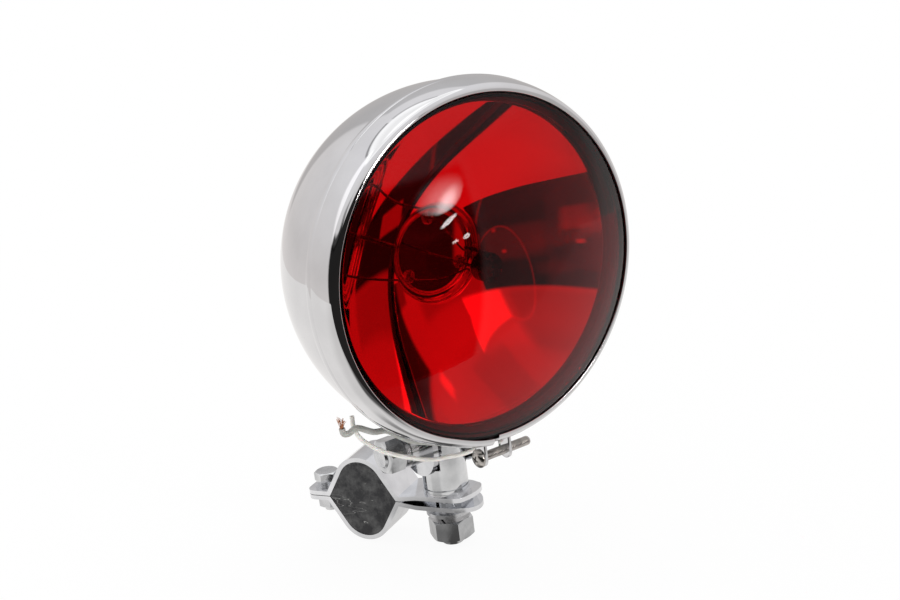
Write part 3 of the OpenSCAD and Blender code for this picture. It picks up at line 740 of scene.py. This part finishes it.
class Finish(Graph):
    """A node material with its shader."""

    def __init__(self, name):
        self.material = bpy.data.materials.new(name)
        self.material.use_nodes = True
        self.tree = self.material.node_tree
        self.shader = self.tree.nodes["Principled BSDF"]
        self.coords = self.tree.nodes.new("ShaderNodeTexCoord").outputs["Object"]

    def set(self, **values):
        for key, value in values.items():
            self.shader.inputs[key.replace("_", " ")].default_value = value
        return self

    def stretched(self, x, y, z):
        mapping = self.tree.nodes.new("ShaderNodeMapping")
        mapping.inputs["Scale"].default_value = (x, y, z)
        self.link(self.coords, mapping.inputs["Vector"])
        return mapping.outputs["Vector"]

    def noise(self, scale, detail=3, roughness=0.5, vector=None):
        made = self.node("ShaderNodeTexNoise", Scale=scale, Detail=detail, Roughness=roughness)
        self.link(vector or self.coords, made.inputs["Vector"])
        return made.outputs["Fac"]

    def mixed(self, factor, a, b):
        """Between two colours; the second one may come from another node."""
        made = self.node("ShaderNodeMix", data_type="RGBA")
        self.link(factor, made.inputs[0])
        made.inputs[COLOUR_A].default_value = (*a, 1)
        if isinstance(b, tuple):
            made.inputs[COLOUR_B].default_value = (*b, 1)
        else:
            self.link(b, made.inputs[COLOUR_B])
        return made.outputs[COLOUR_MIXED]

    def bump(self, height, distance, strength=1.0, under=None):
        made = self.node("ShaderNodeBump", Strength=strength, Distance=distance)
        self.link(height, made.inputs["Height"])
        if under:
            self.link(under, made.inputs["Normal"])
        return made.outputs["Normal"]

    def use(self, name, value):
        self.link(value, self.shader.inputs[name])
        return self


def metal(name, dark, light, rough_low, rough_high, grain, bump=0.00002, wave=0.0):
    f = Finish(name)
    f.set(Metallic=1.0)
    f.use("Base Color", f.mixed(f.spread(f.noise(grain, 4), 0.35, 0.65, 0, 1), dark, light))
    f.use("Roughness", f.spread(f.noise(grain * 2.3, 5, 0.6), 0.3, 0.7, rough_low, rough_high))
    normal = f.bump(f.noise(grain * 6, 3), bump)
    if wave:
        normal = f.bump(f.noise(22, 1), wave, 1.0, normal)
    f.use("Normal", normal)
    return f.material


def rubber(name, dark, light, scuff):
    f = Finish(name)
    f.set(Specular_IOR_Level=0.35)
    cloudy = f.spread(f.noise(130, 6, 0.7), 0.4, 0.66, 0, 0.28)
    scratches = f.noise(70, 2, 0.5, f.stretched(0.8, 1, 4))
    lines = f.between(scratches, 0.60, 0.608, 0.003)
    patches = f.spread(f.noise(48, 2), 0.46, 0.52, 0, scuff)
    marks = f.sum("ADD", cloudy, f.sum("MULTIPLY", lines, patches))
    f.use("Base Color", f.mixed(marks, dark, light))
    f.use("Roughness", f.spread(f.noise(140, 4), 0.3, 0.7, 0.55, 0.8))
    f.use("Normal", f.bump(f.noise(900, 4, 0.6), 0.0001, 0.7))
    return f.material


def vinyl(name, dark, light):
    f = Finish(name)
    f.set(Specular_IOR_Level=0.5, Subsurface_Weight=0.08, Subsurface_Scale=0.001)
    f.use("Base Color", f.mixed(f.spread(f.noise(220, 4), 0.4, 0.7, 0, 1), dark, light))
    f.use("Roughness", f.spread(f.noise(500, 3), 0.3, 0.7, 0.3, 0.5))
    f.use("Normal", f.bump(f.noise(600, 3), 0.00006, 0.6))
    return f.material


def red_glass():
    f = Finish("red_glass")
    f.set(Roughness=0.0, IOR=1.5, Transmission_Weight=1.0, Specular_Tint=(0.3, 0.3, 0.3, 1))
    f.use("Base Color", f.mixed(f.noise(6, 2), (0.86, 0.042, 0.056), (0.90, 0.048, 0.062)))
    f.use("Normal", f.bump(f.noise(16, 1), 0.00008, 0.4))
    return f.material


# The silver on the mirror, which isn't quite in its middle, and the glass outside it
SILVER_R = 64.6
SILVER_SOFT = 0.15
SILVER_X = LENS.x - 0.6 * MM
BARE_GLASS = (0.11, 0.03, 0.03)


def mirror():
    """Silver that stops short of the edge, and plain dark glass outside it."""
    f = Finish("mirror_glass")
    place = f.apart(f.coords)
    across = f.sum("SUBTRACT", place["X"], SILVER_X)
    along = f.sum("SUBTRACT", place["Z"], LENS.z)
    inside = (SILVER_R - SILVER_SOFT) * MM
    outside = (SILVER_R + SILVER_SOFT) * MM
    silver = f.step(f.distance(across, along), inside, outside, 1, 0)
    bright = f.mixed(f.noise(8, 2), (0.86, 0.87, 0.88), (0.93, 0.93, 0.94))
    f.use("Base Color", f.mixed(silver, BARE_GLASS, bright))
    f.use("Metallic", silver)
    f.use("Roughness", f.spread(f.noise(40, 3), 0.3, 0.7, 0.01, 0.05))
    f.use("Normal", f.bump(f.noise(18, 2), 0.00025, 0.5))
    return f.material


CLAMP_CHROME = ((0.66, 0.67, 0.69), (0.8, 0.81, 0.83), 0.05, 0.15, 90, 0.00001)
CLAMP_ZINC = ((0.55, 0.56, 0.57), (0.7, 0.71, 0.72), 0.12, 0.28, 160)
CHROME = metal("chrome", (0.66, 0.66, 0.67), (0.71, 0.71, 0.72), 0.02, 0.05, 60, 0.000003)
SCREW = metal("screw_nickel", (0.42, 0.40, 0.38), (0.58, 0.55, 0.52), 0.12, 0.24, 400)
MATERIALS = {
    "shell_skin": CHROME,
    "rim_band": CHROME,
    "rim_tab_left": CHROME,
    "rim_tab_right": CHROME,
    "screw_thread": SCREW,
    "screw_head": SCREW,
    "lens_glass": red_glass(),
    "gasket": rubber("gasket_rubber", (0.004, 0.004, 0.004), (0.01, 0.01, 0.01), 0.2),
    "reflector_bowl": mirror(),
    "seat_ring": metal("zinc_sheet", (0.45, 0.46, 0.48), (0.6, 0.6, 0.62), 0.25, 0.45, 150),
    "filament_coil": metal("tungsten", (0.12, 0.12, 0.12), (0.25, 0.25, 0.25), 0.3, 0.5, 500),
    # The filament's cup is painted near black, as painted shade, so that it shows no brighter than the dark
    # recess round it
    "filament_shield": metal("nickel_cup_painted_dark", (0.08, 0.08, 0.08), (0.2, 0.19, 0.18), 0.15, 0.3, 300),
    "support_wires": metal("nickel_wire", (0.10, 0.09, 0.09), (0.25, 0.24, 0.22), 0.15, 0.3, 300),
    "beam_terminals": metal("tinned_steel", (0.6, 0.6, 0.6), (0.72, 0.72, 0.71), 0.15, 0.35, 250),
    "lead_lugs": metal("brass_lug", (0.55, 0.38, 0.14), (0.72, 0.52, 0.22), 0.2, 0.4, 250),
    "lead_grommet": rubber("grommet_rubber", (0.01, 0.01, 0.01), (0.05, 0.05, 0.05), 0.3),
    "tilt_bracket": metal("bracket_steel", (0.58, 0.59, 0.61), (0.70, 0.71, 0.73), 0.04, 0.12, 90, 0.00001),
    "bracket_rivets": metal("rivet_steel", (0.5, 0.5, 0.52), (0.65, 0.65, 0.66), 0.15, 0.3, 200),
    "tilt_bolt": metal("zinc_bolt", (0.5, 0.51, 0.53), (0.66, 0.67, 0.68), 0.12, 0.3, 160),
    "tilt_collar": metal("collar_steel", (0.5, 0.5, 0.51), (0.66, 0.66, 0.67), 0.12, 0.25, 160),
    "tilt_spring_washer": metal("spring_steel", (0.35, 0.35, 0.36), (0.5, 0.5, 0.51), 0.2, 0.35, 200),
    "tilt_nut": metal("zinc_nut", (0.50, 0.51, 0.52), (0.66, 0.67, 0.68), 0.06, 0.16, 160),
    "tooth_rings": metal("dark_steel", (0.05, 0.05, 0.055), (0.2, 0.2, 0.21), 0.25, 0.45, 220),
    "swivel_post": metal("post_steel", (0.56, 0.57, 0.58), (0.68, 0.69, 0.70), 0.04, 0.12, 120, 0.00001),
    "post_washer": metal("washer_zinc", (0.55, 0.56, 0.57), (0.7, 0.7, 0.71), 0.15, 0.3, 160),
    "upper_clamp": metal("clamp_chrome", *CLAMP_CHROME),
    "lower_clamp": metal("lower_clamp_chrome", *CLAMP_CHROME),
    "clamp_rubber": rubber("block_rubber", (0.024, 0.024, 0.026), (0.30, 0.30, 0.29), 0.9),
    "stud_washer": metal("stud_washer_zinc", (0.5, 0.51, 0.52), (0.66, 0.66, 0.67), 0.15, 0.3, 160),
    "stud_spring_washer": metal("stud_spring", (0.35, 0.35, 0.36), (0.5, 0.5, 0.51), 0.2, 0.35, 200),
    "stud_nut": metal("stud_nut_zinc", (0.48, 0.49, 0.5), (0.64, 0.65, 0.66), 0.07, 0.2, 160),
    "clamp_bolt": metal("clamp_bolt_zinc", *CLAMP_ZINC),
    "clamp_bolt_washers": metal("bolt_washer_zinc", *CLAMP_ZINC),
    "clamp_bolt_nut": metal("clamp_nut_zinc", *CLAMP_ZINC),
    "inner_leads": vinyl("inner_insulation", (0.2, 0.2, 0.21), (0.3, 0.3, 0.31)),
    "copper_strands": metal("copper", (0.62, 0.27, 0.13), (0.86, 0.46, 0.28), 0.2, 0.35, 400),
    "grey_lead": vinyl("grey_insulation", (0.42, 0.42, 0.39), (0.52, 0.52, 0.49)),
    "white_lead": vinyl("white_insulation", (0.80, 0.78, 0.73), (0.88, 0.86, 0.82)),
}


def dress(piece, material):
    piece.data.materials.clear()
    piece.data.materials.append(material)


for name, material in MATERIALS.items():
    dress(new_pieces.get(name) or nodes_by_name[name], material)


# Studio: the floor's front edge shows in the glass, and the camera sees it nearly plain white
FLOOR_FRONT = -0.2135
FLOOR_SLANT = -0.31
FLOOR_HALF = 0.75
FLOOR_GAP = 0.0001
FLOOR_WHITE = 0.93


def floor_paint():
    f = Finish("floor_paint")
    f.set(Roughness=0.9)
    f.use("Base Color", f.mixed(f.noise(3, 2), (0.86, 0.86, 0.86), (0.88, 0.88, 0.88)))
    path = f.node("ShaderNodeLightPath")
    glow = f.node("ShaderNodeEmission", Color=(1, 1, 1, 1), Strength=1.0)
    painted = f.node("ShaderNodeMixShader")
    f.link(f.sum("MULTIPLY", path.outputs["Is Camera Ray"], FLOOR_WHITE), painted.inputs[0])
    f.link(f.shader.outputs[0], painted.inputs[1])
    f.link(glow.outputs[0], painted.inputs[2])

    # In the chrome and on the glass the floor shows as a glow with painted shade in it: dim near the lamp
    # and in front, with painted dark places to the left
    place = f.apart(f.coords)
    x = f.sum("SUBTRACT", place["X"], STUD.x)
    y = f.sum("SUBTRACT", place["Y"], STUD.y)
    away = f.distance(x, y)
    heading = f.heading(x, y)
    level = f.sum("MINIMUM", f.step(away, 0, 0.09, 0.6, 0.95), f.step(y, -0.12, -0.04, 0.7, 0.95))
    near_or_far = f.sum("ADD", f.step(away, 0.05, 0.065, 1, 0), f.between(away, 0.14, 0.27, 0.02))
    front_left_painted_shade = f.sum("MULTIPLY", f.between(heading, -58, -8, 9), near_or_far)
    level = f.shaded(level, front_left_painted_shade, 0.86)
    left = f.sum("MULTIPLY", f.between(heading, -104, -58, 7), f.step(away, 0.05, 0.09, 1, 0.25))
    level = f.shaded(level, left, 0.6)
    # The glow that reflections see, with the painted shade in its strength
    seen = f.node("ShaderNodeEmission", Color=(1.0, 0.98, 0.965, 1))
    f.link(level, seen.inputs["Strength"])

    # Through the glass the mirror shows it with painted light: a glow that is weaker to the left, as
    # painted shade
    lit = f.node("ShaderNodeEmission", Color=(1, 1, 1, 1))
    f.link(f.step(place["X"], -0.12, 0.05, 0.4, 0.82), lit.inputs["Strength"])
    shown = f.by_ray(painted, (("Is Glossy Ray", seen), ("Is Transmission Ray", lit)))
    f.link(shown.outputs[0], f.tree.nodes["Material Output"].inputs["Surface"])
    return f.material


def make_floor():
    """A pale floor that ends in front of the lamp."""
    mesh = bpy.data.meshes.new("floor")
    top = cad_box[0][2] - FLOOR_GAP
    half = FLOOR_HALF
    corners = [(x, FLOOR_FRONT + FLOOR_SLANT * x) for x in (-half, half)] + [(half, half), (-half, half)]
    mesh.from_pydata([(x, y, top) for x, y in corners], [], [(0, 1, 2, 3)])
    floor = bpy.data.objects.new("floor", mesh)
    scene.collection.objects.link(floor)
    floor.data.materials.append(floor_paint())


class Sky(Graph):
    """The world: what the chrome and glass show, and an even light on the rest."""

    def __init__(self):
        self.world = bpy.data.worlds.new("studio")
        self.world.use_nodes = True
        self.tree = self.world.node_tree
        self.tree.nodes.clear()
        axes = self.apart(self.node("ShaderNodeTexCoord").outputs["Generated"])
        self.azimuth = self.heading(axes["X"], axes["Y"])
        self.height = self.sum("DEGREES", self.sum("ARCSINE", axes["Z"]))
        self.up = axes["Z"]

    def patch(self, left, right, low, high, soft):
        """1 inside a patch of directions in degrees, and 0 outside it."""
        across = self.between(self.azimuth, left, right, soft)
        return self.sum("MULTIPLY", across, self.between(self.height, low, high, soft))

    def oval(self, azimuth, height, turn, wide, high):
        """The distance from a direction, as a share of the half axes of a turned oval."""
        across = self.sum("SUBTRACT", self.azimuth, azimuth)
        along = self.sum("SUBTRACT", self.height, height)
        cos = math.cos(math.radians(turn))
        sin = math.sin(math.radians(turn))
        a = self.sum("ADD", self.sum("MULTIPLY", across, cos), self.sum("MULTIPLY", along, sin))
        b = self.sum("SUBTRACT", self.sum("MULTIPLY", along, cos), self.sum("MULTIPLY", across, sin))
        return self.distance(self.sum("DIVIDE", a, wide), self.sum("DIVIDE", b, high))

    def by_height(self, stops):
        """A colour for each height, from straight down to straight up."""
        made = self.node("ShaderNodeValToRGB")
        ramp = made.color_ramp
        while len(ramp.elements) < len(stops):
            ramp.elements.new(0.5)
        for element, (height, colour) in zip(ramp.elements, stops):
            element.position = (height + 90) / 180
            element.color = (*colour, 1)
        rise = self.sum("DIVIDE", self.sum("ADD", self.height, 90), 180)
        self.link(rise, made.inputs["Fac"])
        return made.outputs["Color"]


def grey(stops):
    return [(height, (value, value, value)) for height, value in stops]


# What the chrome shows: a colour for each height in degrees, and half of its level
CHROME_COLOURS = [
    (-90, (0.84, 0.81, 0.79)), (-25, (0.88, 0.84, 0.82)), (0, (0.76, 0.73, 0.72)),
    (20, (0.82, 0.80, 0.80)), (40, (0.90, 0.89, 0.90)), (56, (0.94, 0.93, 0.95)),
    (60, (1, 1, 1)), (90, (1, 1, 1)),
]
CHROME_HALF_LEVELS = [(-90, 0.5), (58, 0.5), (60, 0.72), (66, 0.6), (72, 0.6), (78, 0.75), (90, 0.75)]

# Patches of it that are darker: left, right, low, high, softness and share taken off
DIM_PARTS = [
    (-108, 24, -89, 17, 1.5, 0.975),
    (-113, -107, -89, -12, 1.5, 0.975),
    (-107, -36, 15, 22, 2, 0.93),
    (-62, -36, 20, 32, 4, 0.6),
    (26, 74, -60, 20, 3, 0.3),
    (128, 172, -4, 44, 2, 0.3),
    (-176, -131, 56.4, 58.4, 0.5, 0.55),
    (140, 179, 56.4, 58.4, 0.5, 0.35),
]

# Lamps that show on the face of the glass: azimuth, height, turn, half axes, and brightness
SMALL_LAMPS = [
    (15, 2.9, 25, 3.9, 0.8, 60),
    (15.9, -3.1, 8, 1.3, 0.55, 46),
    (19.8, -2.5, 20, 1.5, 0.8, 46),
]

# What the mirror shows through the glass: a level for each height, and patches with the share
# taken off or the brightness added after left, right, low, high and softness
MIRROR_LEVELS = [(-90, 0.7), (16, 0.7), (32, 0.8), (46, 0.66), (90, 0.66)]
MIRROR_DIM = [
    (-70, 1, -88, 15.5, 1.2, 0.975), (1, 50, -88, -1, 1.5, 0.96), (1, 50, -1, 15.5, 3, 0.3),
    (66, 84, -14, 25, 1.5, 0.93), (60, 84, -20, 2, 1.5, 0.6), (32, 60, -40, -22, 2, 0.75),
    (-70, -10, 16, 45, 4, 0.36), (8, 41, 40, 57, 2, 0.2),
]
MIRROR_LIT = [
    (-46, -38, -27, -15, 1.5, 0.16), (-33, -4, -21, -1, 3, 0.06), (-44, -42, -9, -7, 0.8, 0.5),
    (-16, -14, -7, -5, 0.8, 0.4), (-11, -9, -21, -19, 0.8, 0.3), (60, 65, 29, 35, 1.5, 0.8),
    (14, 27, -20.5, -12.5, 0.7, 0.45), (-38, -27, 2, 9, 3, 0.04), (-8, 24, 33, 42, 2, 0.08),
]


def chrome_view(sky):
    """A pale studio with an unlit part in front, and lamps that show on the face of the glass."""
    colour = sky.by_height(CHROME_COLOURS)
    level = sky.sum("MULTIPLY", sky.by_height(grey(CHROME_HALF_LEVELS)), 2)
    for *edges, share in DIM_PARTS:
        level = sky.shaded(level, sky.patch(*edges), share)

    # A bright strip with a slanted side, just left of the dark part
    slant = sky.sum("ADD", sky.azimuth, sky.sum("MULTIPLY", sky.height, 0.5))
    strip = sky.between(sky.azimuth, -145, -107.6, 0.7)
    strip = sky.sum("MULTIPLY", sky.step(slant, -101, -97, 0, 1), strip)
    strip = sky.sum("MULTIPLY", strip, sky.between(sky.height, 9, 62, 3))
    level = sky.added(level, strip, 0.5)

    # The main lamp: a glow and a core, with a round lower edge and a straight side
    lamp = sky.step(sky.oval(16, 8, 0, 12, 8.5), 0.1, 1.0, 18, 0)
    lamp = sky.sum("ADD", lamp, sky.step(sky.oval(16, 8.3, 35, 7, 3), 0, 1, 46, 0))
    lamp = sky.sum("MULTIPLY", lamp, sky.step(sky.oval(13, 16.5, 0, 11.2, 11.2), 0.96, 1.02, 1, 0))
    lamp = sky.sum("MULTIPLY", lamp, sky.step(sky.azimuth, 22, 23.6, 1, 0))
    level = sky.sum("ADD", level, lamp)
    for *shape, strength in SMALL_LAMPS:
        level = sky.sum("ADD", level, sky.step(sky.oval(*shape), 0.6, 1.0, strength, 0))
    seen = sky.node("ShaderNodeBackground")
    sky.link(colour, seen.inputs["Color"])
    sky.link(level, seen.inputs["Strength"])
    return seen


def mirror_view(sky):
    level = sky.by_height(grey(MIRROR_LEVELS))
    for *edges, share in MIRROR_DIM:
        level = sky.shaded(level, sky.patch(*edges), share)
    for *edges, gain in MIRROR_LIT:
        level = sky.added(level, sky.patch(*edges), gain)

    # The brightest part, with a slanted upper edge and a slanted side
    lean = sky.sum("MULTIPLY", sky.sum("MAXIMUM", sky.sum("SUBTRACT", sky.height, 26), 0), 0.5)
    side = sky.step(sky.sum("SUBTRACT", sky.azimuth, lean), 17.2, 19.2, 1, 0)
    slope = sky.sum("MULTIPLY", sky.azimuth, 0.3)
    top = sky.step(sky.sum("SUBTRACT", sky.height, slope), 31.5, 33.5, 1, 0)
    lit = sky.sum("MULTIPLY", side, top)
    lit = sky.sum("MULTIPLY", lit, sky.step(sky.azimuth, -9, -5, 0, 1))
    lit = sky.sum("MULTIPLY", lit, sky.step(sky.height, 14.5, 17.5, 0, 1))
    level = sky.added(level, lit, 0.95)

    # A thin bright hoop
    hoop = sky.sum("ABSOLUTE", sky.sum("SUBTRACT", sky.oval(-12, 5, 0, 13.5, 27), 1))
    level = sky.sum("ADD", level, sky.step(hoop, 0.01, 0.035, 0.16, 0))
    through = sky.node("ShaderNodeBackground", Color=(1, 1, 1, 1))
    sky.link(level, through.inputs["Strength"])
    return through


def make_world():
    sky = Sky()
    scene.world = sky.world

    # Even light from above and the sides for everything that isn't shiny
    even = sky.node("ShaderNodeBackground", Color=(1, 1, 1, 1))
    sky.link(sky.step(sky.up, -0.6, 0.9, 0.75, 1.25), even.inputs["Strength"])
    white = sky.node("ShaderNodeBackground", Color=(1, 1, 1, 1))
    in_chrome = chrome_view(sky)
    others = [("Is Transmission Ray", mirror_view(sky)), ("Is Diffuse Ray", even)]
    others.append(("Is Camera Ray", white))
    shown = sky.by_ray(in_chrome, others)
    output = sky.node("ShaderNodeOutputWorld")
    sky.link(shown.outputs[0], output.inputs["Surface"])


make_floor()
make_world()
scene.view_settings.view_transform = "Standard"
